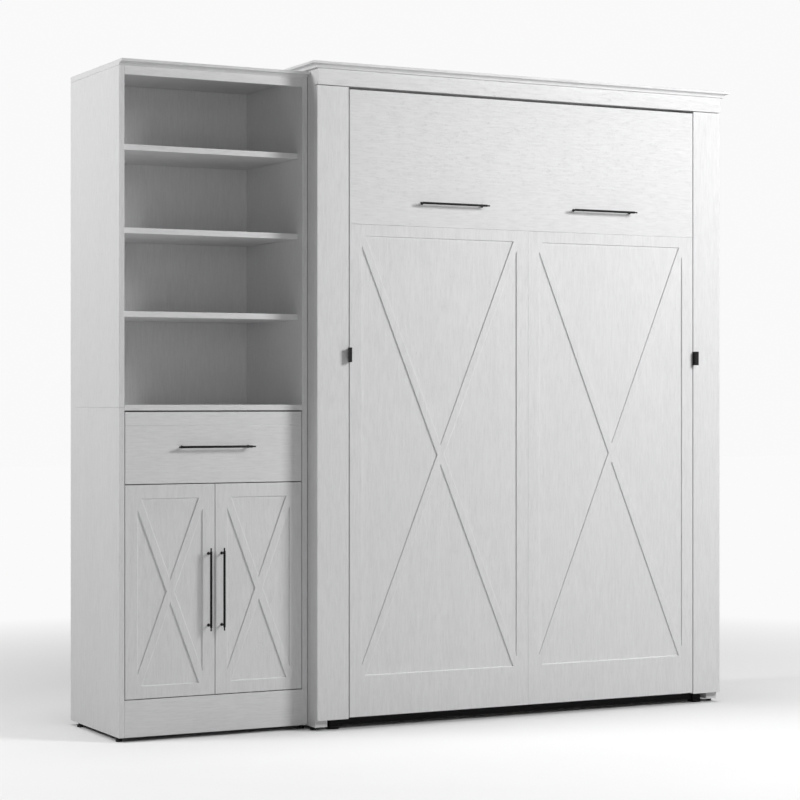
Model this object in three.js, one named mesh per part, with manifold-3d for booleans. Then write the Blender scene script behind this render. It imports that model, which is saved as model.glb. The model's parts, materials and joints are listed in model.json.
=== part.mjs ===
// A full-size vertical wall bed in a panelled cabinet, with a storage tower standing against its
// left side. Millimetres, +Z up, the front faces -Y and the floor is Z = 0.
// Everything is drawn from the bed cabinet's left outer face (X = 0) and the front face of its
// stiles (Y = 0). The last lines centre the finished object over the origin.
import * as THREE from 'three';
import { mergeVertices } from 'three/addons/utils/BufferGeometryUtils.js';
import Module from 'manifold-3d';

const wasm = await Module();
wasm.setup();

// Sizes shared by both cabinets
const SEAM = 0.3; // gap kept between pieces that touch
const BOARD = 19; // thickness of the boards
const CABINET_BACK = 554; // rear faces, against the wall
const FOOT_RADIUS = 10.5;
const FOOT_INSET = 10; // foot centre from the cabinet's outer face

// Bed cabinet
const BED_WIDTH = 1655;
const SIDE_THICKNESS = 46;
const SIDE_BOTTOM = 11;
const STILE_WIDTH = 118;
const STILE_BOTTOM = 36;
const STILE_TOP = 2187.5;
const FRIEZE_BOTTOM = 2189.5;
const FRIEZE_TOP = 2244.5;
const FRIEZE_PROUD = 6;
const BED_FOOT_YS = [57, 500];

// Crown: a lower fillet, a cove and a square upper fascia
const CROWN_TOP = 2266;
const CROWN_OVERHANG = 26;
const CROWN_FASCIA = 8.5;
const CROWN_FILLET_OUT = 11;
const CROWN_FILLET_HEIGHT = 3;
const CROWN_LIP = 2;
const COVE_STEPS = 6;

// Rear boards of the bed cabinet
const TOP_BACK_RAIL = [2060, 2244.2];
const HEADBOARD = [470, 1000];
const LOW_BACK_RAIL = [40, 180];

// Swinging front
const PANEL_LEFT = 122;
const PANEL_RIGHT = BED_WIDTH - PANEL_LEFT;
const PANEL_MIDDLE = BED_WIDTH / 2;
const PANEL_BOTTOM = 40.6;
const PANEL_SPLIT = 1722;
const PANEL_TOP = 2180.5;
const PANEL_FRAME = 46; // flat border beside each crossed field
const FIELD_BOTTOM = 179.5;
const FIELD_TOP = 1683.5;
const FIELD_DEPTH = 5;
const FIELD_SLOPE = 2; // how far a recess wall leans in from face to floor
const ARM_WIDTH = 24;

// Bed pivot and the steel that turns on it
const PIVOT_Y = 60;
const PIVOT_Z = 300;
const PIVOT_RADIUS = 8;
const PIVOT_CLEARANCE = 0.5;
const PIVOT_END = 26; // how near the pin gets to the cabinet's outer face
const RAIL_LEFT = 137;
const RAIL_WIDTH = 25;
const RAIL_DEPTH = 30;
const FRAME_BOTTOM = 60;
const FRAME_TOP = 2155;
const CROSS_RAIL_HEIGHT = 25;
const CROSS_RAILS = [60, 620, 1240, 1900, 2130];
const CHEEK = [131, 137]; // pivot cheek plates, in X
const CRANK = [96, 104]; // crank arms for the gas springs, in X
const HUB_RADIUS = 16;
const CRANK_REACH = 180;
const CHEEK_HALF_HEIGHT = 60;
const CHEEK_INSET = 6; // cheek plate behind the rail's front face

// Slats and mattress
const DECK_FRONT = 49.8;
const BATTEN_DEPTH = 9.6;
const SLAT_DEPTH = 9.6;
const SLAT_LAP = 0.5; // slats are let into the battens by this much
const DECK_BOTTOM = 110;
const DECK_TOP = 1995;
const BATTEN_WIDTH = 40;
const SLAT_WIDTH = 68;
const SLAT_COUNT = 14;
const MATTRESS_WIDTH = 1372;
const MATTRESS_LENGTH = 1905;
const MATTRESS_THICKNESS = 230;
const MATTRESS_FRONT = 69;
const MATTRESS_BOTTOM = 100;
const MATTRESS_ROUND = 28;
const MATTRESS_CORNER = 110;

// Folding leg
const LEG_Y = 40;
const LEG_Z = 2140;
const LEG_PLATE = [124, 132]; // in X
const LEG_CRANK = 54;
const LEG_LENGTH = 267;
const LEG_BAR_RADIUS = 10;
const LEG_HALF_WIDTH = 8;
const LEG_STOWED_SLOPE = THREE.MathUtils.degToRad(10);
const LEG_PIN_RADIUS = 5;
const LEG_BOSS = 3; // extra radius round the leg's pin

// Gas springs
const SPRING_TOP_Y = 400;
const SPRING_TOP_Z = 900;
const SPRING_X = 82;
const CYLINDER_RADIUS = 11;
const CYLINDER_BORE = 5.6;
const CYLINDER_LENGTH = 420;
const ROD_RADIUS = 5;
const ROD_INSIDE = 60;
const EYE_RADIUS = 12;
const EYE_HALF_WIDTH = 8;
const EYE_PIN_RADIUS = 4;
const CYLINDER_CAP = 14; // solid length between the cylinder's eye and its bore
const ROD_END = 4; // the rod stops this far short of its own eye's centre
const BRACKET_SIZE = 60;
const BRACKET_THICKNESS = 4;

// Latches in the side gaps
const LATCH_BOTTOM = 1250.5;
const LATCH_TOP = 1300.5;
const LATCH_STEM = [118.8, 121.2];
const LATCH_FLANGE_LEFT = 107.5;
const LATCH_PROUD = 20;
const LATCH_FLANGE = 3;
const LATCH_BACK = 44;
const LATCH_HEEL_LEFT = 100;
const LATCH_BLOCK_HEIGHT = 40;
const LATCH_BLOCK_BACK = 48;

// Steel base under the bed
const BASE_POST_X = 79.4;
const BASE_POST_WIDTH = 34;
const BASE_Y = 52;
const BASE_RAIL_DEPTH = 16;
const BASE_RAIL = [10, 30];
const BASE_DISC_RADIUS = 23.5;
const BASE_DISC_HEIGHT = 8;
const BASE_POST_TOP = 90;
const BASE_EAR_HEIGHT = 34;

// Tower
const TOWER_LEFT = -681.4;
const TOWER_RIGHT = -2;
const TOWER_FRONT = 77;
const TOWER_BOTTOM = 14.4;
const TOWER_TOP = 2238;
const TOWER_SIDE_TOP = 2219;
const TOWER_JOINT = 1097; // where the lower and upper side boards meet
const TOWER_TOP_OVERHANG = 25;
const TOWER_TOP_FASCIA = 9;
const TOWER_RAIL_BOTTOM = 2189.5;
const TOWER_FOOT_YS = [107, 484];
const TOWER_BACK = [545, 551];
const TOWER_BACK_BOTTOM = 20.4;
const SHELF_FRONT = 113;
const SHELF_TOPS = [1415.1, 1690.6, 1965.3];
const DECK_SHELF = [1087, 1106];
const PLINTH_TOP = 136.5;
const FRONT_LEFT = -659.9;
const FRONT_RIGHT = -23.5;
const DOOR_BOTTOM = 139.5;
const DOOR_TOP = 842.5;
const DOOR_MEETING = [-342.9, -340.4];
const DOOR_FRAME = 43;
const DOOR_FIELD = [180, 797.5];
const DRAWER_FRONT = [845.5, 1082.5];
const GROOVE_Z = 1037;
const GROOVE_SIZE = 1.5;

// Drawer box and runners
const RUNNER_WIDTH = 12;
const RUNNER_HEIGHT = 45;
const RUNNER_Z = 950;
const RUNNER_FRONT = 100;
const RUNNER_BACK = 530;
const BOX_BOTTOM = 868;
const BOX_TOP = 1040;
const BOX_BACK = 520;
const BOX_WALL = 12;

// Bar handles
const HANDLE_LENGTH = 276;
const HANDLE_BAR_LENGTH = 254;
const HANDLE_POST_SPACING = 239;
const HANDLE_RADIUS = 4;
const HANDLE_TIP_RADIUS = 2.5;
const HANDLE_POST_RADIUS = 3;
const HANDLE_STANDOFF = 24;
const BED_HANDLE_XS = [519.5, 1135.5];
const BED_HANDLE_Z = 1802.5;
const DRAWER_HANDLE_X = -341.7;
const DRAWER_HANDLE_Z = 966;
const DOOR_HANDLE_XS = [-365.7, -317.7];
const DOOR_HANDLE_Z = 490.7;

const WHITE = { color: 0xdcdcdb, roughness: 0.55, metalness: 0 };
const BLACK = { color: 0x111111, roughness: 0.42, metalness: 0.5 };
const STEEL = { color: 0x25272a, roughness: 0.4, metalness: 0.7 };
const CHROME = { color: 0xb8babd, roughness: 0.18, metalness: 1 };
const BIRCH = { color: 0xd2b48a, roughness: 0.6, metalness: 0 };
const PLASTIC = { color: 0x161616, roughness: 0.6, metalness: 0 };
const TICKING = { color: 0xe6e3dc, roughness: 0.9, metalness: 0 };

const model = new THREE.Group();

function piece(name, geometry, finish) {
  const mesh = new THREE.Mesh(geometry, new THREE.MeshStandardMaterial(finish));
  mesh.name = name;
  model.add(mesh);
}

function box([x0, x1], [y0, y1], [z0, z1]) {
  const geometry = new THREE.BoxGeometry(x1 - x0, y1 - y0, z1 - z0);
  geometry.translate((x0 + x1) / 2, (y0 + y1) / 2, (z0 + z1) / 2);
  return geometry;
}

function board(name, x, y, z, finish = WHITE) {
  piece(name, box(x, y, z), finish);
}

// The bed cabinet is symmetric: a span on its left is turned over for its right.
function spanOn(side, [x0, x1]) {
  return side === 'left' ? [x0, x1] : [BED_WIDTH - x1, BED_WIDTH - x0];
}

function toSolid(geometry) {
  const bare = geometry.clone();
  bare.deleteAttribute('normal');
  bare.deleteAttribute('uv');
  const merged = mergeVertices(bare, 1e-4);
  return new wasm.Manifold(new wasm.Mesh({
    numProp: 3,
    vertProperties: new Float32Array(merged.attributes.position.array),
    triVerts: new Uint32Array(merged.index.array),
  }));
}

function fromSolid(solid) {
  const mesh = solid.getMesh();
  const geometry = new THREE.BufferGeometry();
  geometry.setAttribute('position', new THREE.BufferAttribute(mesh.vertProperties, 3));
  geometry.setIndex(new THREE.BufferAttribute(mesh.triVerts, 1));
  const flat = geometry.toNonIndexed();
  flat.computeVertexNormals();
  return flat;
}

function block(x, y, z) {
  return toSolid(box(x, y, z));
}

function join(solids) {
  return solids.reduce((whole, solid) => whole.add(solid));
}

// Round bars: the span runs along the named axis, the other two numbers place the centre line.
function rodX([x0, x1], y, z, radius, sides = 24) {
  const geometry = new THREE.CylinderGeometry(radius, radius, x1 - x0, sides);
  geometry.rotateZ(Math.PI / 2);
  geometry.translate((x0 + x1) / 2, y, z);
  return toSolid(geometry);
}

function rodY(x, [y0, y1], z, radius, sides = 20) {
  const geometry = new THREE.CylinderGeometry(radius, radius, y1 - y0, sides);
  geometry.translate(x, (y0 + y1) / 2, z);
  return toSolid(geometry);
}

function rodZ(x, y, [z0, z1], radius, sides = 24) {
  const geometry = new THREE.CylinderGeometry(radius, radius, z1 - z0, sides);
  geometry.rotateX(Math.PI / 2);
  geometry.translate(x, y, (z0 + z1) / 2);
  return toSolid(geometry);
}

// A flat bar in the YZ plane with the given width in X, from one point towards an angle measured
// from +Y to +Z.
function flatBar(x, [y, z], angle, [start, end], halfHeight) {
  const geometry = box(x, [start, end], [-halfHeight, halfHeight]);
  geometry.rotateX(angle);
  geometry.translate(0, y, z);
  return toSolid(geometry);
}

// --- Boards with a diagonal cross standing flush in a recessed field ---

// Move every edge of a convex outline inwards by a distance (outwards when negative).
function inset(points, distance) {
  const middle = points.reduce((sum, p) => sum.add(p), new THREE.Vector2());
  middle.divideScalar(points.length);
  const edges = points.map((p, i) => {
    const q = points[(i + 1) % points.length];
    const normal = new THREE.Vector2(p.y - q.y, q.x - p.x).normalize();
    if (normal.dot(middle.clone().sub(p)) < 0) normal.negate();
    return { normal, offset: normal.dot(p) + distance };
  });
  return edges.map((edge, i) => {
    const before = edges[(i + edges.length - 1) % edges.length];
    return crossing(before, edge);
  });
}

function crossing(a, b) {
  const det = a.normal.x * b.normal.y - a.normal.y * b.normal.x;
  const x = (a.offset * b.normal.y - b.offset * a.normal.y) / det;
  const z = (b.offset * a.normal.x - a.offset * b.normal.x) / det;
  return new THREE.Vector2(x, z);
}

// A pocket with leaning walls: wide at the board's face and a little narrower at its floor.
function pocket(points, faceY) {
  const ahead = 1; // the cutter starts this far in front of the face
  const front = inset(points, (-ahead * FIELD_SLOPE) / FIELD_DEPTH);
  const back = inset(points, FIELD_SLOPE);
  const corners = [
    ...front.map((p) => [p.x, faceY - ahead, p.y]),
    ...back.map((p) => [p.x, faceY + FIELD_DEPTH, p.y]),
  ];
  const n = points.length;
  const faces = [];
  for (let i = 1; i < n - 1; i += 1) {
    faces.push(0, i, i + 1);
    faces.push(n, n + i + 1, n + i);
  }
  for (let i = 0; i < n; i += 1) {
    const j = (i + 1) % n;
    faces.push(i, n + i, j);
    faces.push(j, n + i, n + j);
  }
  const geometry = new THREE.BufferGeometry();
  geometry.setAttribute('position', new THREE.Float32BufferAttribute(corners.flat(), 3));
  geometry.setIndex(faces);
  const solid = toSolid(geometry);
  return solid.volume() < 0 ? flipped(geometry) : solid;
}

function flipped(geometry) {
  const turned = geometry.clone();
  const index = Array.from(geometry.index.array);
  for (let i = 0; i < index.length; i += 3) {
    [index[i], index[i + 1]] = [index[i + 1], index[i]];
  }
  turned.setIndex(index);
  return toSolid(turned);
}

// The four triangular pockets that the cross leaves in its field.
function crossPockets(fieldX, fieldZ, faceY) {
  const middle = new THREE.Vector2((fieldX[0] + fieldX[1]) / 2, (fieldZ[0] + fieldZ[1]) / 2);
  const a = (fieldX[1] - fieldX[0]) / 2;
  const b = (fieldZ[1] - fieldZ[0]) / 2;
  const reach = (ARM_WIDTH / 2) * Math.hypot(a, b);
  const above = [[reach / b - a, b], [0, reach / a], [a - reach / b, b]];
  const right = [[a, b - reach / a], [reach / b, 0], [a, reach / a - b]];
  const opposite = (points) => points.map(([x, z]) => [-x, -z]);
  const windows = [above, right, opposite(above), opposite(right)];
  return join(windows.map((points) => {
    const placed = points.map(([x, z]) => new THREE.Vector2(x, z).add(middle));
    return pocket(placed, faceY);
  }));
}

function crossedBoard(name, x, faceY, z, fieldX, fieldZ) {
  const plain = block(x, [faceY, faceY + BOARD], z);
  piece(name, fromSolid(plain.subtract(crossPockets(fieldX, fieldZ, faceY))), WHITE);
}

// --- Handles and feet ---

// A bar on two posts, with slimmer tips at its ends.
function handle(name, x, faceY, z, upright) {
  const axisY = faceY - HANDLE_STANDOFF;
  const along = (half, radius) => (upright
    ? rodZ(x, axisY, [z - half, z + half], radius)
    : rodX([x - half, x + half], axisY, z, radius));
  const posts = [-1, 1].map((end) => {
    const offset = (end * HANDLE_POST_SPACING) / 2;
    const postX = upright ? x : x + offset;
    const postZ = upright ? z + offset : z;
    return rodY(postX, [axisY, faceY - SEAM], postZ, HANDLE_POST_RADIUS);
  });
  const bar = along(HANDLE_BAR_LENGTH / 2, HANDLE_RADIUS);
  const tips = along(HANDLE_LENGTH / 2, HANDLE_TIP_RADIUS);
  piece(name, fromSolid(join([bar, tips, ...posts])), BLACK);
}

// A levelling foot: a wide glide under a threaded stem.
function foot(name, x, y, underside) {
  const top = underside - SEAM;
  const glide = 6;
  const stem = 6;
  const profile = [
    [0, 0],
    [FOOT_RADIUS - 1, 0],
    [FOOT_RADIUS, 1],
    [FOOT_RADIUS, glide - 1],
    [FOOT_RADIUS - 1, glide],
    [stem, glide],
    [stem, top],
    [0, top],
  ].map(([radius, height]) => new THREE.Vector2(radius, height));
  const geometry = new THREE.LatheGeometry(profile, 28);
  geometry.rotateX(Math.PI / 2);
  geometry.translate(x, y, 0);
  piece(name, fromSolid(toSolid(geometry)), PLASTIC);
}

// --- Bed cabinet ---

function bedSide(side) {
  const panel = block(
    spanOn(side, [0, SIDE_THICKNESS]),
    [BOARD + SEAM, CABINET_BACK],
    [SIDE_BOTTOM, FRIEZE_TOP - SEAM],
  );
  const hole = rodX(
    spanOn(side, [PIVOT_END - 4, SIDE_THICKNESS + 1]),
    PIVOT_Y,
    PIVOT_Z,
    PIVOT_RADIUS + PIVOT_CLEARANCE,
  );
  piece(`bed_side_${side}`, fromSolid(panel.subtract(hole)), WHITE);
}

function bedCabinet() {
  for (const side of ['left', 'right']) {
    bedSide(side);
    board(`stile_${side}`, spanOn(side, [0, STILE_WIDTH]), [0, BOARD], [STILE_BOTTOM, STILE_TOP]);
    const footX = spanOn(side, [FOOT_INSET, FOOT_INSET])[0];
    foot(`bed_foot_front_${side}`, footX, BED_FOOT_YS[0], SIDE_BOTTOM);
    foot(`bed_foot_rear_${side}`, footX, BED_FOOT_YS[1], SIDE_BOTTOM);
  }
  board(
    'frieze_board',
    [0, BED_WIDTH],
    [-FRIEZE_PROUD, BOARD],
    [FRIEZE_BOTTOM, FRIEZE_TOP - SEAM],
  );
  const between = [SIDE_THICKNESS + SEAM, BED_WIDTH - SIDE_THICKNESS - SEAM];
  const rear = [CABINET_BACK - BOARD, CABINET_BACK];
  board('back_rail_top', between, rear, TOP_BACK_RAIL);
  board('headboard', between, rear, HEADBOARD);
  board('back_rail_low', between, rear, LOW_BACK_RAIL);
}

// The crown closes the cabinet's top. Each level of its outline is a rectangle that overhangs the
// front and both sides by the same amount and stops at the cabinet's back.
function crown() {
  const coveBottom = FRIEZE_TOP + CROWN_FILLET_HEIGHT;
  const fasciaBottom = CROWN_TOP - CROWN_FASCIA;
  const coveOut = CROWN_OVERHANG - CROWN_LIP - CROWN_FILLET_OUT;
  const levels = [[CROWN_FILLET_OUT, FRIEZE_TOP]];
  for (let i = 0; i <= COVE_STEPS; i += 1) {
    const turn = ((Math.PI / 2) * i) / COVE_STEPS;
    const out = CROWN_FILLET_OUT + coveOut * (1 - Math.cos(turn));
    levels.push([out, coveBottom + (fasciaBottom - coveBottom) * Math.sin(turn)]);
  }
  levels.push([CROWN_OVERHANG, fasciaBottom], [CROWN_OVERHANG, CROWN_TOP]);
  const corners = levels.flatMap(([out, z]) => [
    [-out, -out, z],
    [BED_WIDTH + out, -out, z],
    [BED_WIDTH + out, CABINET_BACK, z],
    [-out, CABINET_BACK, z],
  ]);
  const faces = [0, 2, 1, 0, 3, 2];
  for (let level = 0; level < levels.length - 1; level += 1) {
    for (let i = 0; i < 4; i += 1) {
      const a = 4 * level + i;
      const b = 4 * level + ((i + 1) % 4);
      faces.push(a, b, b + 4, a, b + 4, a + 4);
    }
  }
  const last = 4 * (levels.length - 1);
  faces.push(last, last + 1, last + 2, last, last + 2, last + 3);
  const geometry = new THREE.BufferGeometry();
  geometry.setAttribute('position', new THREE.Float32BufferAttribute(corners.flat(), 3));
  geometry.setIndex(faces);
  piece('crown', fromSolid(toSolid(geometry)), WHITE);
}

function steelBase() {
  const half = BASE_POST_WIDTH / 2;
  const y = [BASE_Y - half, BASE_Y + half];
  const parts = [block(
    [BASE_POST_X, BED_WIDTH - BASE_POST_X],
    [BASE_Y - BASE_RAIL_DEPTH / 2, BASE_Y + BASE_RAIL_DEPTH / 2],
    BASE_RAIL,
  )];
  for (const side of ['left', 'right']) {
    const [x0, x1] = spanOn(side, [BASE_POST_X - half, BASE_POST_X + half]);
    parts.push(block([x0, x1], y, [BASE_DISC_HEIGHT - 1, BASE_POST_TOP]));
    const disc = rodZ((x0 + x1) / 2, BASE_Y, [0, BASE_DISC_HEIGHT], BASE_DISC_RADIUS, 40);
    parts.push(disc);
    const ear = spanOn(side, [SIDE_THICKNESS + SEAM, BASE_POST_X]);
    parts.push(block(ear, y, [BASE_POST_TOP - BASE_EAR_HEIGHT, BASE_POST_TOP]));
  }
  piece('steel_base', fromSolid(join(parts)), BLACK);
}

// --- The bed itself ---

function swingingFront() {
  board(
    'panel_top',
    [PANEL_LEFT, PANEL_RIGHT],
    [0, BOARD],
    [PANEL_SPLIT + SEAM / 2, PANEL_TOP],
  );
  const z = [PANEL_BOTTOM, PANEL_SPLIT - SEAM / 2];
  const fieldZ = [FIELD_BOTTOM, FIELD_TOP];
  for (const side of ['left', 'right']) {
    const x = spanOn(side, [PANEL_LEFT, PANEL_MIDDLE - SEAM / 2]);
    const fieldX = spanOn(side, [PANEL_LEFT + PANEL_FRAME, PANEL_MIDDLE - PANEL_FRAME]);
    crossedBoard(`panel_low_${side}`, x, 0, z, fieldX, fieldZ);
  }
  handle('bed_handle_left', BED_HANDLE_XS[0], 0, BED_HANDLE_Z, false);
  handle('bed_handle_right', BED_HANDLE_XS[1], 0, BED_HANDLE_Z, false);
}

// Everything on one side of the welded frame: rail, pivot cheek, pin, hub and crank arm.
function frameSide(side) {
  const y = [BOARD + SEAM, BOARD + SEAM + RAIL_DEPTH];
  const rail = spanOn(side, [RAIL_LEFT, RAIL_LEFT + RAIL_WIDTH]);
  const crankTip = PIVOT_Z - CRANK_REACH;
  return [
    block(rail, y, [FRAME_BOTTOM, FRAME_TOP]),
    block(
      spanOn(side, [CHEEK[0], CHEEK[1] + 1]),
      [y[0] + CHEEK_INSET, PIVOT_Y + HUB_RADIUS],
      [PIVOT_Z - CHEEK_HALF_HEIGHT, PIVOT_Z + CHEEK_HALF_HEIGHT],
    ),
    rodX(spanOn(side, [CRANK[0], CHEEK[1]]), PIVOT_Y, PIVOT_Z, HUB_RADIUS, 32),
    rodX(spanOn(side, [PIVOT_END, CHEEK[1]]), PIVOT_Y, PIVOT_Z, PIVOT_RADIUS),
    block(
      spanOn(side, CRANK),
      [PIVOT_Y - HUB_RADIUS, PIVOT_Y + HUB_RADIUS],
      [crankTip, PIVOT_Z],
    ),
    rodX(spanOn(side, CRANK), PIVOT_Y, crankTip, HUB_RADIUS, 32),
    rodX(spanOn(side, [LEG_PLATE[0] - 1, RAIL_LEFT + 1]), LEG_Y, LEG_Z, LEG_PIN_RADIUS),
  ];
}

function bedFrame() {
  const y = [BOARD + SEAM, BOARD + SEAM + RAIL_DEPTH];
  const x = [RAIL_LEFT + 1, BED_WIDTH - RAIL_LEFT - 1];
  const cross = CROSS_RAILS.map((z) => block(x, y, [z, z + CROSS_RAIL_HEIGHT]));
  const parts = [...frameSide('left'), ...frameSide('right'), ...cross];
  piece('bed_frame', fromSolid(join(parts)), STEEL);
}

function slatDeck() {
  const left = (BED_WIDTH - MATTRESS_WIDTH) / 2;
  const right = left + MATTRESS_WIDTH;
  const battenY = [DECK_FRONT, DECK_FRONT + BATTEN_DEPTH];
  const slatFront = battenY[1] - SLAT_LAP;
  const slatY = [slatFront, slatFront + SLAT_DEPTH];
  const middle = (left + right) / 2;
  const battens = [left, middle - BATTEN_WIDTH / 2, right - BATTEN_WIDTH].map(
    (x) => block([x, x + BATTEN_WIDTH], battenY, [DECK_BOTTOM, DECK_TOP]),
  );
  const pitch = (DECK_TOP - DECK_BOTTOM - SLAT_WIDTH) / (SLAT_COUNT - 1);
  const slats = [];
  for (let i = 0; i < SLAT_COUNT; i += 1) {
    const z = DECK_BOTTOM + i * pitch;
    slats.push(block([left, right], slatY, [z, z + SLAT_WIDTH]));
  }
  piece('slat_deck', fromSolid(join([...battens, ...slats])), BIRCH);
}

// A mattress with upright corners and edges rounded over.
function mattress() {
  const r = MATTRESS_ROUND;
  const w = MATTRESS_WIDTH / 2 - r;
  const h = MATTRESS_LENGTH / 2 - r;
  const corner = MATTRESS_CORNER;
  const shape = new THREE.Shape();
  shape.moveTo(-w + corner, -h);
  shape.lineTo(w - corner, -h);
  shape.quadraticCurveTo(w, -h, w, -h + corner);
  shape.lineTo(w, h - corner);
  shape.quadraticCurveTo(w, h, w - corner, h);
  shape.lineTo(-w + corner, h);
  shape.quadraticCurveTo(-w, h, -w, h - corner);
  shape.lineTo(-w, -h + corner);
  shape.quadraticCurveTo(-w, -h, -w + corner, -h);
  const geometry = new THREE.ExtrudeGeometry(shape, {
    depth: MATTRESS_THICKNESS - 2 * r,
    bevelEnabled: true,
    bevelThickness: r,
    bevelSize: r,
    bevelSegments: 5,
    curveSegments: 8,
  });
  geometry.rotateX(Math.PI / 2);
  geometry.translate(
    BED_WIDTH / 2,
    MATTRESS_FRONT + MATTRESS_THICKNESS - r,
    MATTRESS_BOTTOM + MATTRESS_LENGTH / 2,
  );
  piece('mattress', fromSolid(toSolid(geometry)), TICKING);
}

// The folding leg: a crank plate and a limb on each side, joined by a cross bar at the end.
// Stowed, the cranks hang down and the limbs reach back over the foot of the mattress.
function legBar() {
  const crankAngle = -Math.PI / 2 - LEG_STOWED_SLOPE;
  const limbAngle = -LEG_STOWED_SLOPE;
  const elbow = [
    LEG_Y + LEG_CRANK * Math.cos(crankAngle),
    LEG_Z + LEG_CRANK * Math.sin(crankAngle),
  ];
  const end = [
    elbow[0] + LEG_LENGTH * Math.cos(limbAngle),
    elbow[1] + LEG_LENGTH * Math.sin(limbAngle),
  ];
  const barStart = LEG_PLATE[0] + 2;
  const bar = rodX([barStart, BED_WIDTH - barStart], end[0], end[1], LEG_BAR_RADIUS);
  const half = LEG_HALF_WIDTH;
  const overlap = 1.5; // the limb's heel stands this far past the crank's edge
  const sides = ['left', 'right'].map((side) => {
    const x = spanOn(side, LEG_PLATE);
    const hole = rodX([x[0] - 2, x[1] + 2], LEG_Y, LEG_Z, LEG_PIN_RADIUS + PIVOT_CLEARANCE);
    const arm = join([
      rodX(x, LEG_Y, LEG_Z, half + LEG_BOSS),
      flatBar(x, [LEG_Y, LEG_Z], crankAngle, [0, LEG_CRANK + half - overlap], half),
      flatBar(x, elbow, limbAngle, [-half - overlap, LEG_LENGTH], half),
    ]);
    return arm.subtract(hole);
  });
  piece('leg_bar', fromSolid(join([bar, ...sides])), BLACK);
}

// --- Gas springs ---

// Where a spring points at rest: from its upper pin to the crank's tip.
function springAngle() {
  const crankTip = PIVOT_Z - CRANK_REACH;
  return Math.atan2(crankTip - SPRING_TOP_Z, PIVOT_Y - SPRING_TOP_Y);
}

function springLength() {
  const crankTip = PIVOT_Z - CRANK_REACH;
  return Math.hypot(crankTip - SPRING_TOP_Z, PIVOT_Y - SPRING_TOP_Y);
}

// A round bar along the spring's axis between two distances from its upper pin.
function springRod(x, [start, end], radius, sides = 32) {
  const geometry = new THREE.CylinderGeometry(radius, radius, end - start, sides);
  geometry.translate(0, (start + end) / 2, 0);
  geometry.rotateX(springAngle());
  geometry.translate(x, SPRING_TOP_Y, SPRING_TOP_Z);
  return toSolid(geometry);
}

function gasSpring(side) {
  const x = spanOn(side, [SPRING_X, SPRING_X])[0];
  const eyeX = [x - EYE_HALF_WIDTH, x + EYE_HALF_WIDTH];
  const bore = springRod(x, [EYE_RADIUS + CYLINDER_CAP, CYLINDER_LENGTH + 1], CYLINDER_BORE);
  const eyeHole = rodX(
    [eyeX[0] - 1, eyeX[1] + 1],
    SPRING_TOP_Y,
    SPRING_TOP_Z,
    EYE_PIN_RADIUS + PIVOT_CLEARANCE,
  );
  const cylinder = join([
    rodX(eyeX, SPRING_TOP_Y, SPRING_TOP_Z, EYE_RADIUS, 32),
    springRod(x, [EYE_RADIUS - 3, CYLINDER_LENGTH], CYLINDER_RADIUS),
  ]);
  piece(`gas_cylinder_${side}`, fromSolid(cylinder.subtract(bore).subtract(eyeHole)), BLACK);

  const tip = PIVOT_Z - CRANK_REACH;
  const stud = spanOn(side, [SPRING_X, CRANK[0] - SEAM]);
  const rod = join([
    springRod(x, [CYLINDER_LENGTH - ROD_INSIDE, springLength() - ROD_END], ROD_RADIUS),
    rodX(eyeX, PIVOT_Y, tip, EYE_RADIUS, 32),
    rodX(stud, PIVOT_Y, tip, EYE_PIN_RADIUS),
  ]);
  piece(`gas_rod_${side}`, fromSolid(rod), CHROME);

  const inner = SIDE_THICKNESS + SEAM;
  const half = BRACKET_SIZE / 2;
  const bracket = join([
    block(
      spanOn(side, [inner, inner + BRACKET_THICKNESS]),
      [SPRING_TOP_Y - half, SPRING_TOP_Y + half],
      [SPRING_TOP_Z - half, SPRING_TOP_Z + half],
    ),
    rodX(
      spanOn(side, [inner, SPRING_X + EYE_HALF_WIDTH + 3]),
      SPRING_TOP_Y,
      SPRING_TOP_Z,
      EYE_PIN_RADIUS,
    ),
  ]);
  piece(`spring_bracket_${side}`, fromSolid(bracket), STEEL);
}

// --- Latches ---

// A thin blade stands in the gap beside the bed. Its front edge turns outwards over the stile.
function latch(side) {
  const z = [LATCH_BOTTOM, LATCH_TOP];
  const blade = block(spanOn(side, LATCH_STEM), [-LATCH_PROUD, LATCH_BACK], z);
  const flange = block(
    spanOn(side, [LATCH_FLANGE_LEFT, LATCH_STEM[1]]),
    [-LATCH_PROUD, LATCH_FLANGE - LATCH_PROUD],
    z,
  );
  const heel = block(
    spanOn(side, [LATCH_HEEL_LEFT, LATCH_STEM[1]]),
    [LATCH_BACK - LATCH_FLANGE, LATCH_BACK],
    z,
  );
  piece(`latch_${side}`, fromSolid(join([blade, flange, heel])), BLACK);
  board(
    `latch_block_${side}`,
    spanOn(side, [SIDE_THICKNESS + SEAM, LATCH_STEM[1]]),
    [BOARD + SEAM, LATCH_BLOCK_BACK],
    [LATCH_BOTTOM - LATCH_BLOCK_HEIGHT, LATCH_BOTTOM - SEAM],
    PLASTIC,
  );
}

// --- Tower ---

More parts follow.
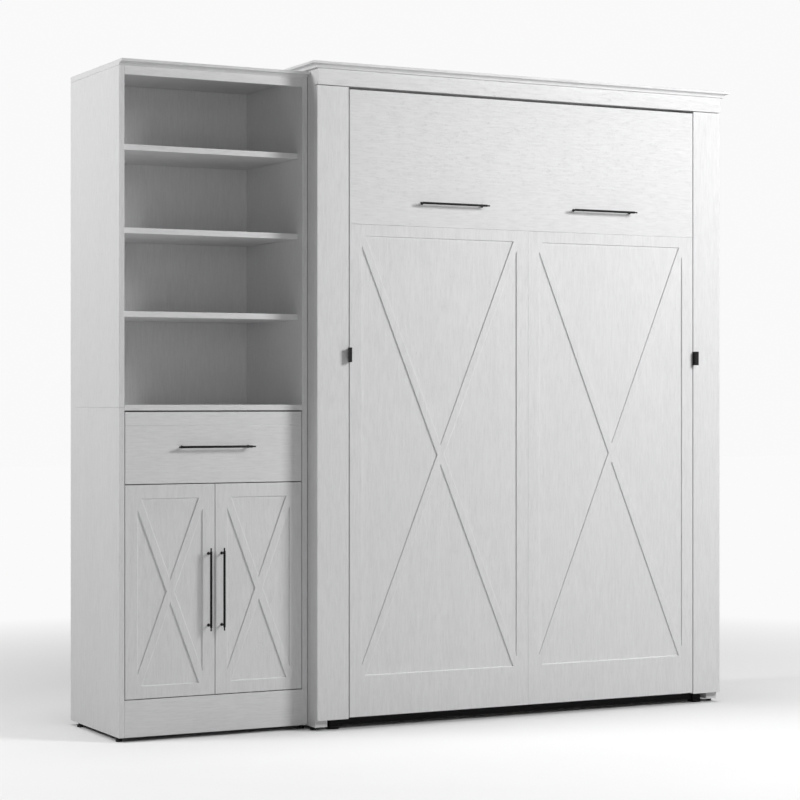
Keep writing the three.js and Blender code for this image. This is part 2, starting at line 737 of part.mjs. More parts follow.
function towerTop() {
  const front = TOWER_FRONT - TOWER_TOP_OVERHANG;
  const fascia = TOWER_TOP - TOWER_TOP_FASCIA;
  const shape = new THREE.Shape();
  shape.moveTo(CABINET_BACK, TOWER_SIDE_TOP);
  shape.lineTo(CABINET_BACK, TOWER_TOP);
  shape.lineTo(front, TOWER_TOP);
  shape.lineTo(front, fascia);
  shape.quadraticCurveTo(TOWER_FRONT - 2, fascia, TOWER_FRONT, TOWER_SIDE_TOP);
  shape.closePath();
  const settings = { depth: TOWER_RIGHT - TOWER_LEFT, bevelEnabled: false, curveSegments: 8 };
  const geometry = new THREE.ExtrudeGeometry(shape, settings);
  geometry.applyMatrix4(new THREE.Matrix4().makeBasis(
    new THREE.Vector3(0, 1, 0),
    new THREE.Vector3(0, 0, 1),
    new THREE.Vector3(1, 0, 0),
  ));
  geometry.translate(TOWER_LEFT, 0, 0);
  piece('tower_top', fromSolid(toSolid(geometry)), WHITE);
}

function towerCabinet() {
  const sides = {
    left: [TOWER_LEFT, TOWER_LEFT + BOARD],
    right: [TOWER_RIGHT - BOARD, TOWER_RIGHT],
  };
  const feet = { left: TOWER_LEFT + FOOT_INSET, right: TOWER_RIGHT - FOOT_INSET };
  const depth = [TOWER_FRONT, CABINET_BACK];
  for (const side of ['left', 'right']) {
    const low = [TOWER_BOTTOM, TOWER_JOINT - SEAM / 2];
    const high = [TOWER_JOINT + SEAM / 2, TOWER_SIDE_TOP - SEAM];
    board(`tower_side_low_${side}`, sides[side], depth, low);
    board(`tower_side_high_${side}`, sides[side], depth, high);
    foot(`tower_foot_front_${side}`, feet[side], TOWER_FOOT_YS[0], TOWER_BOTTOM);
    foot(`tower_foot_rear_${side}`, feet[side], TOWER_FOOT_YS[1], TOWER_BOTTOM);
  }
  towerTop();
  const x = [TOWER_LEFT + BOARD + SEAM, TOWER_RIGHT - BOARD - SEAM];
  const flush = [TOWER_FRONT, TOWER_FRONT + BOARD];
  const back = TOWER_BACK[0] - SEAM;
  board('tower_top_rail', x, flush, [TOWER_RAIL_BOTTOM, TOWER_SIDE_TOP - SEAM]);
  board('tower_back', x, TOWER_BACK, [TOWER_BACK_BOTTOM, TOWER_SIDE_TOP - SEAM]);
  board('tower_fixed_shelf', x, [TOWER_FRONT, back], DECK_SHELF);
  board('tower_plinth', x, flush, [TOWER_BOTTOM, PLINTH_TOP]);
  board(
    'tower_floor',
    x,
    [TOWER_FRONT + BOARD + SEAM, back],
    [PLINTH_TOP - BOARD, PLINTH_TOP],
  );
  SHELF_TOPS.forEach((top, i) => {
    board(`tower_shelf_${i + 1}`, x, [SHELF_FRONT, back], [top - BOARD, top]);
  });
}

function doors() {
  const spans = {
    left: [FRONT_LEFT, DOOR_MEETING[0]],
    right: [DOOR_MEETING[1], FRONT_RIGHT],
  };
  ['left', 'right'].forEach((side, i) => {
    const [x0, x1] = spans[side];
    const fieldX = [x0 + DOOR_FRAME, x1 - DOOR_FRAME];
    const z = [DOOR_BOTTOM, DOOR_TOP];
    crossedBoard(`door_${side}`, [x0, x1], TOWER_FRONT, z, fieldX, DOOR_FIELD);
    handle(`door_handle_${side}`, DOOR_HANDLE_XS[i], TOWER_FRONT, DOOR_HANDLE_Z, true);
  });
}

// The drawer's front carries a fine groove across its whole width, near the top.
function drawer() {
  const front = block([FRONT_LEFT, FRONT_RIGHT], [TOWER_FRONT, TOWER_FRONT + BOARD], DRAWER_FRONT);
  const groove = block(
    [FRONT_LEFT - 1, FRONT_RIGHT + 1],
    [TOWER_FRONT - 1, TOWER_FRONT + GROOVE_SIZE],
    [GROOVE_Z - GROOVE_SIZE / 2, GROOVE_Z + GROOVE_SIZE / 2],
  );
  piece('drawer_front', fromSolid(front.subtract(groove)), WHITE);
  handle('drawer_handle', DRAWER_HANDLE_X, TOWER_FRONT, DRAWER_HANDLE_Z, false);

  const inner = [TOWER_LEFT + BOARD + SEAM, TOWER_RIGHT - BOARD - SEAM];
  const x = [inner[0] + RUNNER_WIDTH + SEAM, inner[1] - RUNNER_WIDTH - SEAM];
  const y = [TOWER_FRONT + BOARD + SEAM, BOX_BACK];
  const z = [BOX_BOTTOM, BOX_TOP];
  const hollow = block(
    [x[0] + BOX_WALL, x[1] - BOX_WALL],
    [y[0] + BOX_WALL, y[1] - BOX_WALL],
    [z[0] + BOX_WALL, z[1] + 1],
  );
  piece('drawer_box', fromSolid(block(x, y, z).subtract(hollow)), BIRCH);

  const runnerY = [RUNNER_FRONT, RUNNER_BACK];
  const runnerZ = [RUNNER_Z - RUNNER_HEIGHT / 2, RUNNER_Z + RUNNER_HEIGHT / 2];
  board('drawer_runner_left', [inner[0], inner[0] + RUNNER_WIDTH], runnerY, runnerZ, CHROME);
  board('drawer_runner_right', [inner[1] - RUNNER_WIDTH, inner[1]], runnerY, runnerZ, CHROME);
}

bedCabinet();
crown();
steelBase();
swingingFront();
bedFrame();
slatDeck();
mattress();
legBar();
for (const side of ['left', 'right']) {
  gasSpring(side);
  latch(side);
}
towerCabinet();
doors();
drawer();

// Centre the object over the origin, standing on the floor.
const bounds = new THREE.Box3().setFromObject(model);
const middle = bounds.getCenter(new THREE.Vector3());
for (const mesh of model.children) {
  mesh.geometry.translate(-middle.x, -middle.y, -bounds.min.z);
}

export default model;
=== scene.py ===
"""A full-size wall bed in a panelled white cabinet, with a storage tower on its left."""
import json
import math

import bmesh
import bpy
from mathutils import Matrix, Vector


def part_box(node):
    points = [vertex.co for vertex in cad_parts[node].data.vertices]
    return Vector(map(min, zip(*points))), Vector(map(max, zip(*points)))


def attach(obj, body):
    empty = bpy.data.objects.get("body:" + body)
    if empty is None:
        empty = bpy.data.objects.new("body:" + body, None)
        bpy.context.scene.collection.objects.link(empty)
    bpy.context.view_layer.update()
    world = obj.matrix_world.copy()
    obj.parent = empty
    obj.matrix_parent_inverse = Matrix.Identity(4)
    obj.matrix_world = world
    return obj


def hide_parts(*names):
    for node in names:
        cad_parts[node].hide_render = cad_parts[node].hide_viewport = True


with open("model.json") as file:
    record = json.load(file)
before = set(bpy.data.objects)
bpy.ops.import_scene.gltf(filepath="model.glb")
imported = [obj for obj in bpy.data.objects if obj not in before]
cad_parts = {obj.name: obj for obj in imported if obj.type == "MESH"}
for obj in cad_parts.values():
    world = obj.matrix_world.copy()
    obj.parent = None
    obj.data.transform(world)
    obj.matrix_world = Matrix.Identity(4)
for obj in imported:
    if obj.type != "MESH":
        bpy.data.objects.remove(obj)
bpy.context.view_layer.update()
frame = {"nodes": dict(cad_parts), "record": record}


# ---------------------------------------------------------------- white boards
# Every cabinet board is 19 mm particle board faced with white melamine, pressed with a wood grain
# that can be seen and felt. The grain runs along the length of each board, and the edging strip
# glued round it is eased by the trimmer, which leaves a thin, slightly polished line.
class Wire:
    """A shader socket that takes part in ordinary Python sums."""

    def __init__(self, finish, socket):
        self.finish, self.socket = finish, socket

    def _sum(self, operation, other):
        return self.finish.node("ShaderNodeMath", {"operation": operation}, {0: self, 1: other})

    def __add__(self, other):
        return self._sum("ADD", other)

    def __sub__(self, other):
        return self._sum("SUBTRACT", other)

    def __mul__(self, other):
        return self._sum("MULTIPLY", other)

    def above(self, level):
        return self._sum("GREATER_THAN", level)

    __radd__ = __add__


class Finish:
    """A material whose varying parts are built up as sums of nodes."""

    def __init__(self, name, **constants):
        self.material = bpy.data.materials.new(name)
        self.material.use_nodes = True
        self.tree = self.material.node_tree
        self.shader = self.tree.nodes["Principled BSDF"]
        for socket, value in constants.items():
            self.shader.inputs[socket.replace("_", " ")].default_value = value

    def node(self, kind, settings=None, sockets=None, out=0):
        made = self.tree.nodes.new(kind)
        for key, value in (settings or {}).items():
            setattr(made, key, value)
        for key, value in (sockets or {}).items():
            self.link(made.inputs[key], value)
        return Wire(self, made.outputs[out])

    def link(self, socket, value):
        if isinstance(value, Wire):
            self.tree.links.new(value.socket, socket)
        else:
            socket.default_value = value

    def feed(self, **wires):
        for socket, wire in wires.items():
            self.link(self.shader.inputs[socket.replace("_", " ")], wire)

    def place(self, stretch=(1, 1, 1), shift=(0, 0, 0)):
        """The object's own coordinates, stretched along the grain and shifted to a fresh patch."""
        here = self.node("ShaderNodeTexCoord", out="Object")
        return self.node(
            "ShaderNodeMapping", {}, {"Vector": here, "Scale": stretch, "Location": shift}
        )

    def noise(self, at, scale, detail=3.0, rough=0.5, bend=0.0):
        return self.node(
            "ShaderNodeTexNoise",
            {},
            {"Vector": at, "Scale": scale, "Detail": detail, "Roughness": rough,
             "Distortion": bend},
        )

    def blend(self, amount, first, second):
        return self.node(
            "ShaderNodeMix",
            {"data_type": "RGBA"},
            {0: amount, 6: first, 7: second},
            out=2,
        )

    def bump(self, height, strength, distance):
        return self.node(
            "ShaderNodeBump", {}, {"Height": height, "Strength": strength, "Distance": distance}
        )

    def eased_edge(self):
        """One on the narrow faces that the trimmer left, and zero on the boards' own faces."""
        return self.node("ShaderNodeAttribute", {"attribute_name": "eased"}, out="Fac")


GRAIN_STRETCH = 0.1  # the figure is about ten times longer than it is wide
grains = {"X": (GRAIN_STRETCH, 1, 1), "Z": (1, 1, GRAIN_STRETCH)}
PATCH_STEP = (1.73, 0.91, 2.37)  # so that no two boards show the same stretch of figure
FIGURE_SCALE = 13
STREAK_SCALE = 190
FINE_SCALE = 480
PALE_WHITE = (0.83, 0.83, 0.834, 1)
DEEP_WHITE = (0.71, 0.71, 0.716, 1)
PORE_WHITE = (0.64, 0.64, 0.643, 1)
EDGE_WHITE = (0.83, 0.83, 0.833, 1)
GRAIN_RELIEF = 0.0012


def melamine(name, along, patch):
    white = Finish(name, Specular_IOR_Level=0.42, IOR=1.5)
    at = white.place(grains[along], tuple(patch * step for step in PATCH_STEP))
    figure = white.noise(at, FIGURE_SCALE, 3, 0.5, 0.8)
    streak = white.noise(at, STREAK_SCALE, 4, 0.65, 0.3)
    fine = white.noise(at, FINE_SCALE, 3, 0.6)
    pore = fine.above(0.6) * streak.above(0.5)
    edge = white.eased_edge()
    shade = figure * 0.25 + (streak - 0.5) * 1.4 + 0.4
    face = white.blend(shade, PALE_WHITE, DEEP_WHITE)
    pored = white.blend(pore * 0.22, face, PORE_WHITE)
    worn = white.blend(edge * 0.35, pored, EDGE_WHITE)
    relief = streak * 0.6 + fine * 0.3 + figure * 0.3 - pore * 0.5
    white.feed(
        Base_Color=worn,
        Roughness=0.46 + streak * 0.16 + pore * 0.12 - edge * 0.1,
        Normal=white.bump(relief, 0.5, GRAIN_RELIEF),
    )
    return white.material


EASE = 0.0008  # width of the trimmed edge
DOUBLE = 0.00001  # corners closer together than this are one corner
FLAT_TURN = math.radians(1)  # faces that turn less than this are one flat face
SHARP_TURN = math.radians(30)  # edges that turn more than this are trimmed
SOFT_EDGE = math.radians(40)  # neighbouring faces shade as one up to this angle
NARROW = 0.9  # a face thinner than this share of the trimmed width is a trimmed one


def rounded(bm, edges, width, segments):
    bmesh.ops.bevel(
        bm, geom=list(edges), offset=width, offset_type="OFFSET", affect="EDGES",
        segments=segments, profile=0.5, material=-1, clamp_overlap=True,
    )


def finished(bm, name):
    mesh = bpy.data.meshes.new(name)
    bm.to_mesh(mesh)
    bm.free()
    return mesh


def eased(node, width, material, slot):
    """A board or fitting with its sharp edges trimmed, standing for the plain CAD solid."""
    bm = bmesh.new()
    bm.from_mesh(frame["nodes"][node].data)
    bmesh.ops.remove_doubles(bm, verts=bm.verts, dist=DOUBLE)
    bmesh.ops.dissolve_limit(bm, angle_limit=FLAT_TURN, verts=bm.verts, edges=bm.edges)
    mark = bm.faces.layers.float.new("eased")
    shared = [e for e in bm.edges if len(e.link_faces) == 2]
    sharp = [e for e in shared if e.calc_face_angle(0) > SHARP_TURN]
    turning = [e for e in shared if FLAT_TURN < e.calc_face_angle(0) <= SHARP_TURN]
    for face in bm.faces:
        face.smooth = False
    for edge in turning:
        for face in edge.link_faces:
            face.smooth = True
    rounded(bm, sharp, width, 2)
    for face in bm.faces:
        longest = max(edge.calc_length() for edge in face.edges)
        if face.calc_area() < NARROW * width * longest:
            face[mark] = 1.0
            face.smooth = True
    for edge in bm.edges:
        edge.smooth = edge.calc_face_angle(0) <= SOFT_EDGE
    dress(f"{node}_look", finished(bm, f"{node}_eased"), material, slot, node)


body_of_node = {
    node: body
    for body, nodes in frame["record"]["behaviour"]["bodies"].items()
    for node in nodes
}


def dress(name, mesh, material, slot, *nodes, body=None):
    mesh.materials.clear()
    mesh.materials.append(material)
    made = bpy.data.objects.new(name, mesh)
    bpy.context.scene.collection.objects.link(made)
    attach(made, body or body_of_node[nodes[0]])
    if nodes:
        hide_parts(*nodes)


board_grain = {
    "Z": ["bed_side_left", "bed_side_right", "stile_left", "stile_right", "panel_low_left",
          "panel_low_right", "tower_side_low_left", "tower_side_low_right",
          "tower_side_high_left", "tower_side_high_right", "tower_back", "door_left",
          "door_right"],
    "X": ["frieze_board", "crown", "back_rail_top", "headboard", "back_rail_low", "panel_top",
          "tower_top", "tower_top_rail", "tower_fixed_shelf", "tower_plinth", "tower_floor",
          "tower_shelf_1", "tower_shelf_2", "tower_shelf_3", "drawer_front"],
}
patch = 0
for direction, boards in board_grain.items():
    for board in boards:
        patch += 1
        eased(board, EASE, melamine(f"white_{board}", direction, patch), "white_board")


# ---------------------------------------------------------------- bar handles
# Five bar pulls in black powder-coated steel. A solid bar is turned down to a slim tip at each
# end, and two posts with small collars hold it off the board.
GRIT_SCALE = 1900
CLOUD_SCALE = 24
WORN_BLACK = (0.03, 0.03, 0.031, 1)
PALER = 1.7  # the thinner patches of the coat, against its own colour


def powder_coat(name, colour, patch):
    coat = Finish(name, Metallic=0.0, Specular_IOR_Level=0.25)
    at = coat.place(shift=(patch, patch * 0.7, 0))
    grit = coat.noise(at, GRIT_SCALE, 2, 0.5)
    cloud = coat.noise(at, CLOUD_SCALE, 3)
    edge = coat.eased_edge()
    dark = coat.blend(cloud * 0.7, colour, tuple(c * PALER for c in colour[:3]) + (1,))
    coat.feed(
        Base_Color=coat.blend(edge * 0.3, dark, WORN_BLACK),
        Roughness=0.36 + grit * 0.14 + cloud * 0.08 - edge * 0.08,
        Normal=coat.bump(grit, 0.25, 0.0002),
    )
    return coat.material


handle_black = powder_coat("handle_black", (0.004, 0.004, 0.0045, 1), 1)
HANDLE_BAR = 0.254
BAR_RADIUS = 0.004
BAR_CHAMFER = 0.0007
TIP_RADIUS = 0.0025
TIP_CHAMFER = 0.0008
POST_RADIUS = 0.003
POST_SPACING = 0.239
POST_CHAMFER = 0.0003
COLLAR_RADIUS = 0.0052
COLLAR_DEPTH = 0.0016
COLLAR_CHAMFER = 0.0005
TURNED_SHARP = math.radians(35)
ALONG = {"X": Matrix.Rotation(math.pi / 2, 4, "Y"), "Z": Matrix.Identity(4)}
ACROSS = Matrix.Rotation(math.pi / 2, 4, "X")


def turned(bm, radius, length, centre, direction, chamfer, sides=40):
    """A round bar with chamfered ends, centred on a point."""
    bar = bmesh.ops.create_cone(
        bm, cap_ends=True, segments=sides, radius1=radius, radius2=radius, depth=length,
        matrix=Matrix.Translation(centre) @ direction,
    )
    edges = {e for v in bar["verts"] for e in v.link_edges}
    rims = {e for e in edges if max(len(f.verts) for f in e.link_faces) > 4}
    rounded(bm, rims, chamfer, 3)


def turned_mesh(bm, name):
    """The finished mesh of a turned piece, smooth everywhere but at its rims."""
    for face in bm.faces:
        face.smooth = True
    mesh = finished(bm, name)
    mesh.set_sharp_from_angle(angle=TURNED_SHARP)
    return mesh


def bar_handle(node, direction):
    low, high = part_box(node)
    face_y = high.y
    centre = (low + high) / 2
    centre.y = low.y + BAR_RADIUS
    step = Vector((1, 0, 0)) if direction == "X" else Vector((0, 0, 1))
    bm = bmesh.new()
    turned(bm, BAR_RADIUS, HANDLE_BAR, centre, ALONG[direction], BAR_CHAMFER)
    turned(bm, TIP_RADIUS, (high - low).dot(step), centre, ALONG[direction], TIP_CHAMFER)
    for end in (-1, 1):
        post = centre + step * (end * POST_SPACING / 2)
        middle = Vector((post.x, (centre.y + face_y) / 2, post.z))
        turned(bm, POST_RADIUS, face_y - centre.y, middle, ACROSS, POST_CHAMFER)
        foot = Vector((post.x, face_y - COLLAR_DEPTH / 2, post.z))
        turned(bm, COLLAR_RADIUS, COLLAR_DEPTH, foot, ACROSS, COLLAR_CHAMFER)
    mesh = turned_mesh(bm, f"{node}_turned")
    dress(f"{node}_look", mesh, handle_black, "black_steel", node)


for node in ("bed_handle_left", "bed_handle_right", "drawer_handle"):
    bar_handle(node, "X")
for node in ("door_handle_left", "door_handle_right"):
    bar_handle(node, "Z")


# ---------------------------------------------------------------- steel fittings
# The bed frame, folding leg, base, latches and spring brackets are cut and welded steel with a
# fine textured powder coat. Their edges are dressed before coating and show a little brighter.
base_black = powder_coat("base_black", (0.005, 0.005, 0.0055, 1), 3)
frame_charcoal = powder_coat("frame_charcoal", (0.022, 0.023, 0.025, 1), 5)
WELDED_EDGE = 0.0009
LATCH_EDGE = 0.0003
BRACKET_EDGE = 0.0005
for node in ("steel_base", "leg_bar"):
    eased(node, WELDED_EDGE, base_black, "black_steel")
for side in ("left", "right"):
    eased(f"latch_{side}", LATCH_EDGE, base_black, "black_steel")
    eased(f"spring_bracket_{side}", BRACKET_EDGE, frame_charcoal, "dark_steel")
eased("bed_frame", WELDED_EDGE, frame_charcoal, "dark_steel")


# ---------------------------------------------------------------- gas springs and runners
# Each gas spring is a painted tube with a polished rod. The drawer runs on bright zinc-plated
# runners, rolled from strip, whose surface is drawn out along their length.
spring_paint = powder_coat("spring_paint", (0.012, 0.012, 0.013, 1), 7)
DRAW_SCALE = 700
PALE_STEEL = (0.60, 0.61, 0.62, 1)
DEEP_STEEL = (0.48, 0.49, 0.50, 1)


def drawn_steel(name, stretch, rough):
    steel = Finish(name, Metallic=1.0)
    at = steel.place(stretch)
    draw = steel.noise(at, DRAW_SCALE, 3, 0.6)
    cloud = steel.noise(at, 30, 2)
    steel.feed(
        Base_Color=steel.blend(cloud, PALE_STEEL, DEEP_STEEL),
        Roughness=rough + draw * 0.14 + cloud * 0.06,
        Normal=steel.bump(draw, 0.12, 0.0001),
    )
    return steel.material


rod_steel = drawn_steel("rod_steel", (1, 1, 1), 0.1)
runner_steel = drawn_steel("runner_steel", (1, 0.02, 1), 0.24)
TUBE_EDGE = 0.0006
ROD_EDGE = 0.0004
RUNNER_EDGE = 0.0006
for side in ("left", "right"):
    eased(f"gas_cylinder_{side}", TUBE_EDGE, spring_paint, "black_steel")
    eased(f"gas_rod_{side}", ROD_EDGE, rod_steel, "bright_steel")
    eased(f"drawer_runner_{side}", RUNNER_EDGE, runner_steel, "bright_steel")


# ---------------------------------------------------------------- feet and latch blocks
# Levelling feet in moulded black plastic: a round glide with a rolled rim, under a threaded stem.
# The latch blocks are moulded in the same plastic.
SPARK_SCALE = 1300
DEEP_PLASTIC = (0.010, 0.010, 0.010, 1)
PALE_PLASTIC = (0.026, 0.026, 0.027, 1)


def moulded(name, patch):
    plastic = Finish(name, Specular_IOR_Level=0.4)
    at = plastic.place(shift=(patch, 0, patch))
    spark = plastic.noise(at, SPARK_SCALE, 3)
    cloud = plastic.noise(at, 60, 2)
    plastic.feed(
        Base_Color=plastic.blend(cloud, DEEP_PLASTIC, PALE_PLASTIC),
        Roughness=0.5 + spark * 0.2,
        Normal=plastic.bump(spark, 0.3, 0.0002),
    )
    return plastic.material


foot_plastic = moulded("foot_plastic", 2)
GLIDE_HEIGHT = 0.006
GLIDE_CHAMFER = 0.0014
STEM_RADIUS = 0.006
STEM_CHAMFER = 0.0004
NUT_WALL = 0.0022
NUT_HEIGHT = 0.002
BLOCK_EDGE = 0.0012


def levelling_foot(node):
    low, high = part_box(node)
    centre = (low + high) / 2
    radius = (high.x - low.x) / 2
    bm = bmesh.new()
    glide = Vector((centre.x, centre.y, GLIDE_HEIGHT / 2))
    turned(bm, radius, GLIDE_HEIGHT, glide, ALONG["Z"], GLIDE_CHAMFER, 56)
    stem = Vector((centre.x, centre.y, (GLIDE_HEIGHT + high.z) / 2))
    turned(bm, STEM_RADIUS, high.z - GLIDE_HEIGHT, stem, ALONG["Z"], STEM_CHAMFER)
    nut = Vector((centre.x, centre.y, GLIDE_HEIGHT + NUT_HEIGHT / 2))
    turned(bm, STEM_RADIUS + NUT_WALL, NUT_HEIGHT, nut, ALONG["Z"], STEM_CHAMFER, 6)
    mesh = turned_mesh(bm, f"{node}_moulded")
    dress(f"{node}_look", mesh, foot_plastic, "black_plastic", node)


for cabinet in ("bed", "tower"):
    for end in ("front", "rear"):
        for side in ("left", "right"):
            levelling_foot(f"{cabinet}_foot_{end}_{side}")
for side in ("left", "right"):
    eased(f"latch_block_{side}", BLOCK_EDGE, foot_plastic, "black_plastic")


# ---------------------------------------------------------------- birch slats and drawer box
# The slats and the drawer box are birch plywood with a clear satin lacquer: pale, with a soft
# flame figure along each piece.
FLAME_SCALE = 14
FIBRE_SCALE = 380
PALE_BIRCH = (0.68, 0.52, 0.33, 1)
DEEP_BIRCH = (0.50, 0.34, 0.18, 1)
FIBRE_BROWN = (0.40, 0.26, 0.13, 1)
EDGE_BROWN = (0.36, 0.24, 0.13, 1)


def birch(name, along):
    wood = Finish(name, Coat_Weight=0.2, Coat_Roughness=0.35)
    at = wood.place(grains[along])
    flame = wood.noise(at, FLAME_SCALE, 4, 0.6, 2.2)
    fibre = wood.noise(at, FIBRE_SCALE, 3, 0.6)
    edge = wood.eased_edge()
    pale = wood.blend(flame, PALE_BIRCH, DEEP_BIRCH)
    lined = wood.blend(fibre * 0.35, pale, FIBRE_BROWN)
    wood.feed(
        Base_Color=wood.blend(edge * 0.4, lined, EDGE_BROWN),
        Roughness=0.42 + fibre * 0.16,
        Normal=wood.bump(fibre * 0.7 + flame * 0.3, 0.2, 0.0004),
    )
    return wood.material


SLAT_EDGE = 0.0015
DRAWER_BOX_EDGE = 0.0008
eased("slat_deck", SLAT_EDGE, birch("birch_slats", "X"), "birch")
eased("drawer_box", DRAWER_BOX_EDGE, birch("birch_drawer", "X"), "birch")


# ---------------------------------------------------------------- concealed door hinges
# Nickel-plated cup hinges inside the cupboard: a round cup let into the back of the door and a
# short arm towards the side panel. Two hold each door.
CUP_RADIUS = 0.0175
CUP_PROUD = 0.0014
CUP_FROM_EDGE = 0.0225
CUP_CHAMFER = 0.0005
CUP_FROM_END = 0.09
ARM_SIZE = (0.024, 0.012, 0.014)
ARM_OUTWARD = 0.006  # from the middle of the cup towards the side panel
ARM_INWARD = 0.007  # from the middle of the cup into the cupboard
ARM_EDGE = 0.0022
hinge_nickel = drawn_steel("hinge_nickel", (1, 1, 1), 0.2)
for side, sign in (("left", 1), ("right", -1)):
    low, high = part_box(f"door_{side}")
    edge_x = low.x if side == "left" else high.x
    for level, z in (("low", low.z + CUP_FROM_END), ("high", high.z - CUP_FROM_END)):
        bm = bmesh.new()
        cup = Vector((edge_x + sign * CUP_FROM_EDGE, high.y + CUP_PROUD / 2, z))
        turned(bm, CUP_RADIUS, CUP_PROUD, cup, ACROSS, CUP_CHAMFER, 48)
        middle = cup + Vector((-sign * ARM_OUTWARD, ARM_INWARD, 0))
        arm = bmesh.ops.create_cube(
            bm, size=1, matrix=Matrix.Translation(middle) @ Matrix.Diagonal((*ARM_SIZE, 1))
        )
        rounded(bm, {e for v in arm["verts"] for e in v.link_edges}, ARM_EDGE, 3)
        mesh = finished(bm, f"cup_hinge_{side}_{level}")
        dress(f"cup_hinge_{side}_{level}", mesh, hinge_nickel, "bright_steel",
              body=f"cupboard_door_{side}")


# ---------------------------------------------------------------- mattress
# A foam mattress in woven ticking. The cover is quilted in diamonds, and pulls in at the taped
# edges while the filling crowns between them.
MATTRESS_START = 0.985  # the cover's size before it is filled, against the CAD solid
MATTRESS_VOXEL = 0.024
MATTRESS_MOVE = 0.026  # no point of the cover moves further than this when filled
FILLING_PRESSURE = 4
FILLING_STEPS = 20
QUILT_PITCH = 0.11
QUILT_DEPTH = 0.004
BROAD_SIDE = 0.8  # only faces that look this squarely to the top or bottom are quilted

low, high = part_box("mattress")
centre = (low + high) / 2
bm = bmesh.new()
bm.from_mesh(frame["nodes"]["mattress"].data)
bmesh.ops.remove_doubles(bm, verts=bm.verts, dist=DOUBLE)
bmesh.ops.translate(bm, verts=bm.verts, vec=-centre)
bmesh.ops.scale(bm, verts=bm.verts, vec=Vector((MATTRESS_START,) * 3))
bmesh.ops.translate(bm, verts=bm.verts, vec=centre)
cover = bpy.data.objects.new("mattress_look", finished(bm, "mattress_cover"))
bpy.context.scene.collection.objects.link(cover)
bpy.context.view_layer.objects.active = cover


def baked(obj):
    """Leave the result of a piece's modifiers in its mesh."""
    seen = obj.evaluated_get(bpy.context.evaluated_depsgraph_get())
    result = bpy.data.meshes.new_from_object(seen)
    obj.modifiers.clear()
    obj.data = result


remesh = cover.modifiers.new("even_skin", "REMESH")
remesh.mode = "VOXEL"
remesh.voxel_size = MATTRESS_VOXEL
bpy.context.view_layer.update()
baked(cover)
start = [v.co.copy() for v in cover.data.vertices]
cloth = cover.modifiers.new("filling", "CLOTH")
cloth.settings.use_pressure = True
cloth.settings.uniform_pressure_force = FILLING_PRESSURE
cloth.settings.effector_weights.gravity = 0
for step in range(1, FILLING_STEPS + 1):
    bpy.context.scene.frame_set(step)
baked(cover)
bpy.context.scene.frame_set(1)
for vertex, home in zip(cover.data.vertices, start):
    move = vertex.co - home
    if move.length > MATTRESS_MOVE:
        vertex.co = home + move.normalized() * MATTRESS_MOVE
smoothing = cover.modifiers.new("soft", "SUBSURF")
smoothing.levels = smoothing.render_levels = 1
bpy.context.view_layer.update()
baked(cover)
outward = [vertex.normal.copy() for vertex in cover.data.vertices]
for vertex, normal in zip(cover.data.vertices, outward):
    p = vertex.co.copy()
    diagonal = [(p.x + turn * p.z) / QUILT_PITCH for turn in (-1, 1)]
    crest = min(abs(math.sin(math.pi * d)) for d in diagonal)
    if abs(normal.y) > BROAD_SIDE:
        p -= normal * QUILT_DEPTH * (1 - crest) ** 3
    vertex.co = [min(max(c, a), b) for c, a, b in zip(p, low, high)]
for face in cover.data.polygons:
    face.use_smooth = True

PALE_TICKING = (0.82, 0.80, 0.75, 1)
DEEP_TICKING = (0.66, 0.64, 0.59, 1)
WEAVE_SCALE = 260
SLUB_SCALE = 500
ticking = Finish("ticking", Sheen_Weight=0.3, Sheen_Roughness=0.5, Specular_IOR_Level=0.2)
at = ticking.place()
weave = ticking.node(
    "ShaderNodeTexWave", {"wave_type": "BANDS", "bands_direction": "DIAGONAL"},
    {"Vector": at, "Scale": WEAVE_SCALE, "Distortion": 0.4}, out="Fac",
)
slub = ticking.noise(ticking.place((1, 1, 0.1)), SLUB_SCALE, 3)
soft = ticking.noise(at, 9, 3)
ticking.feed(
    Base_Color=ticking.blend(soft * 0.5 + weave * 0.3, PALE_TICKING, DEEP_TICKING),
    Roughness=0.8 + slub * 0.15,
    Normal=ticking.bump(weave * 0.5 + slub * 0.5, 0.3, 0.0005),
)
cover.data.materials.clear()
cover.data.materials.append(ticking.material)
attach(cover, "bed")
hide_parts("mattress")


# ---------------------------------------------------------------- studio
# A pale floor under a white surround, with soft lights to the front right, the front and the left,
# and one straight above. To the camera the far floor is as bright as the surround, so no horizon
# shows, and the floor throws only a little light back onto the cabinets.
FLOOR_REACH = 30
FLOOR_DROP = 0.0005
FLOOR_PALE = 0.84
FLOOR_DULL = 0.82
FLOOR_BOUNCE = 0.46
FADE_START = 1.6
FADE_END = 4.0
SURROUND_SEEN = 0.95
AMBIENT = 0.08
OVERHEAD_STRENGTH = 1.3
OVERHEAD_ANGLE = math.radians(25)
CAMERA_PLACE = (-3.7598, -7.1303, 1.1185)
CAMERA_TURN = math.radians(-27.5)
CAMERA_LENS = 101.13
CAMERA_SENSOR = 36
CAMERA_SHIFT = 0.00125


def grey(level):
    return (level, level, level, 1)


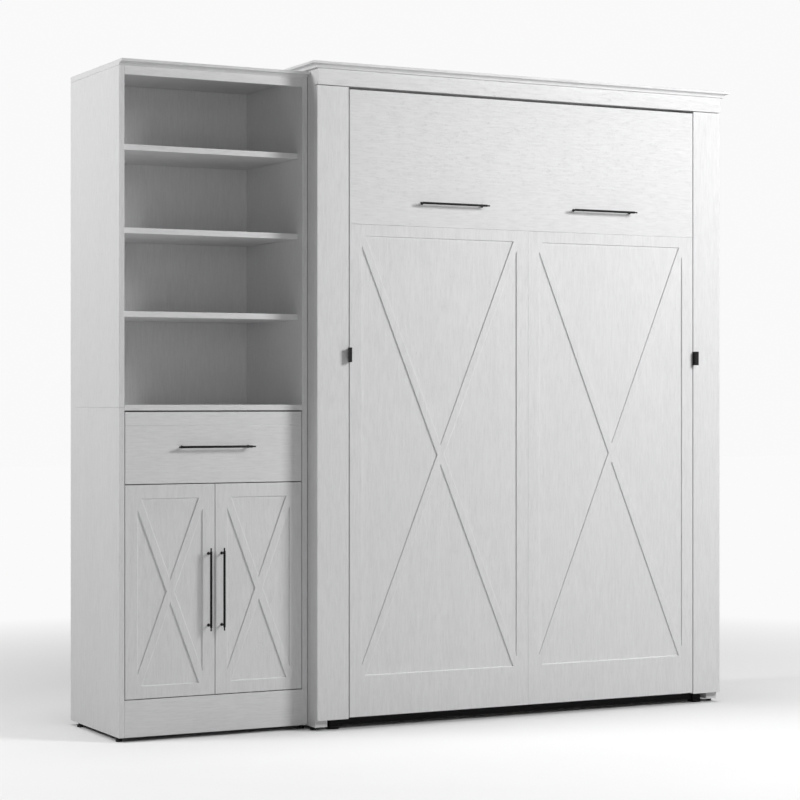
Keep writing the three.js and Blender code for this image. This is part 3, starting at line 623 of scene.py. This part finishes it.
def studio_floor():
    bm = bmesh.new()
    below = Matrix.Translation((0, 0, -FLOOR_DROP))
    bmesh.ops.create_grid(bm, x_segments=1, y_segments=1, size=FLOOR_REACH, matrix=below)
    mesh = finished(bm, "floor")
    floor = bpy.data.objects.new("floor", mesh)
    bpy.context.scene.collection.objects.link(floor)
    pale = Finish("pale_floor", Roughness=0.9, Specular_IOR_Level=0.1, Emission_Strength=1.0)
    pale.material.cycles.emission_sampling = "NONE"
    dust = pale.noise(pale.place(), 3, 2)
    seen_directly = pale.node("ShaderNodeLightPath", out="Is Camera Ray")
    swept = pale.blend(dust, grey(FLOOR_PALE), grey(FLOOR_DULL))
    reach = pale.node(
        "ShaderNodeVectorMath", {"operation": "LENGTH"}, {0: pale.place()}, out="Value"
    )
    far = pale.node(
        "ShaderNodeMapRange", {}, {"Value": reach, "From Min": FADE_START, "From Max": FADE_END}
    )
    lost = far * seen_directly
    near = pale.blend(seen_directly, grey(FLOOR_BOUNCE), swept)
    pale.feed(
        Base_Color=pale.blend(lost, near, grey(0)),
        Emission_Color=pale.blend(lost, grey(0), grey(SURROUND_SEEN)),
    )
    mesh.materials.append(pale.material)


def soft_light(name, place, target, size, watts):
    lamp = bpy.data.lights.new(name, "AREA")
    lamp.shape = "SQUARE"
    lamp.size = size
    lamp.energy = watts
    made = bpy.data.objects.new(name, lamp)
    made.location = place
    away = Vector(target) - Vector(place)
    made.rotation_euler = away.to_track_quat("-Z", "Y").to_euler()
    bpy.context.scene.collection.objects.link(made)


studio_floor()
soft_light("key_right", (2.6, -3.4, 3.0), (0.4, 0, 1.5), 1.3, 137)
soft_light("fill_front", (-2.4, -6.0, 1.7), (-0.2, 0, 1.2), 2.6, 32)
soft_light("wash_left", (-4.6, 0.6, 3.2), (-1.2, 0, 1.4), 1.2, 108)
overhead = bpy.data.lights.new("overhead", "SUN")
overhead.energy = OVERHEAD_STRENGTH
overhead.angle = OVERHEAD_ANGLE
bpy.context.scene.collection.objects.link(bpy.data.objects.new("overhead", overhead))

surround = bpy.data.worlds.new("surround")
surround.use_nodes = True
nodes, links = surround.node_tree.nodes, surround.node_tree.links
background = nodes["Background"]
background.inputs["Color"].default_value = grey(1)
seen = nodes.new("ShaderNodeLightPath")
brightness = nodes.new("ShaderNodeMapRange")
brightness.inputs["To Min"].default_value = AMBIENT
brightness.inputs["To Max"].default_value = SURROUND_SEEN
links.new(seen.outputs["Is Camera Ray"], brightness.inputs["Value"])
links.new(brightness.outputs["Result"], background.inputs["Strength"])
bpy.context.scene.world = surround
bpy.context.scene.view_settings.view_transform = "Standard"

camera_data = bpy.data.cameras.new("camera")
camera_data.lens = CAMERA_LENS
camera_data.sensor_width = CAMERA_SENSOR
camera_data.shift_y = CAMERA_SHIFT
camera = bpy.data.objects.new("camera", camera_data)
camera.location = CAMERA_PLACE
camera.rotation_euler = (math.pi / 2, 0, CAMERA_TURN)
bpy.context.scene.collection.objects.link(camera)
bpy.context.scene.camera = camera
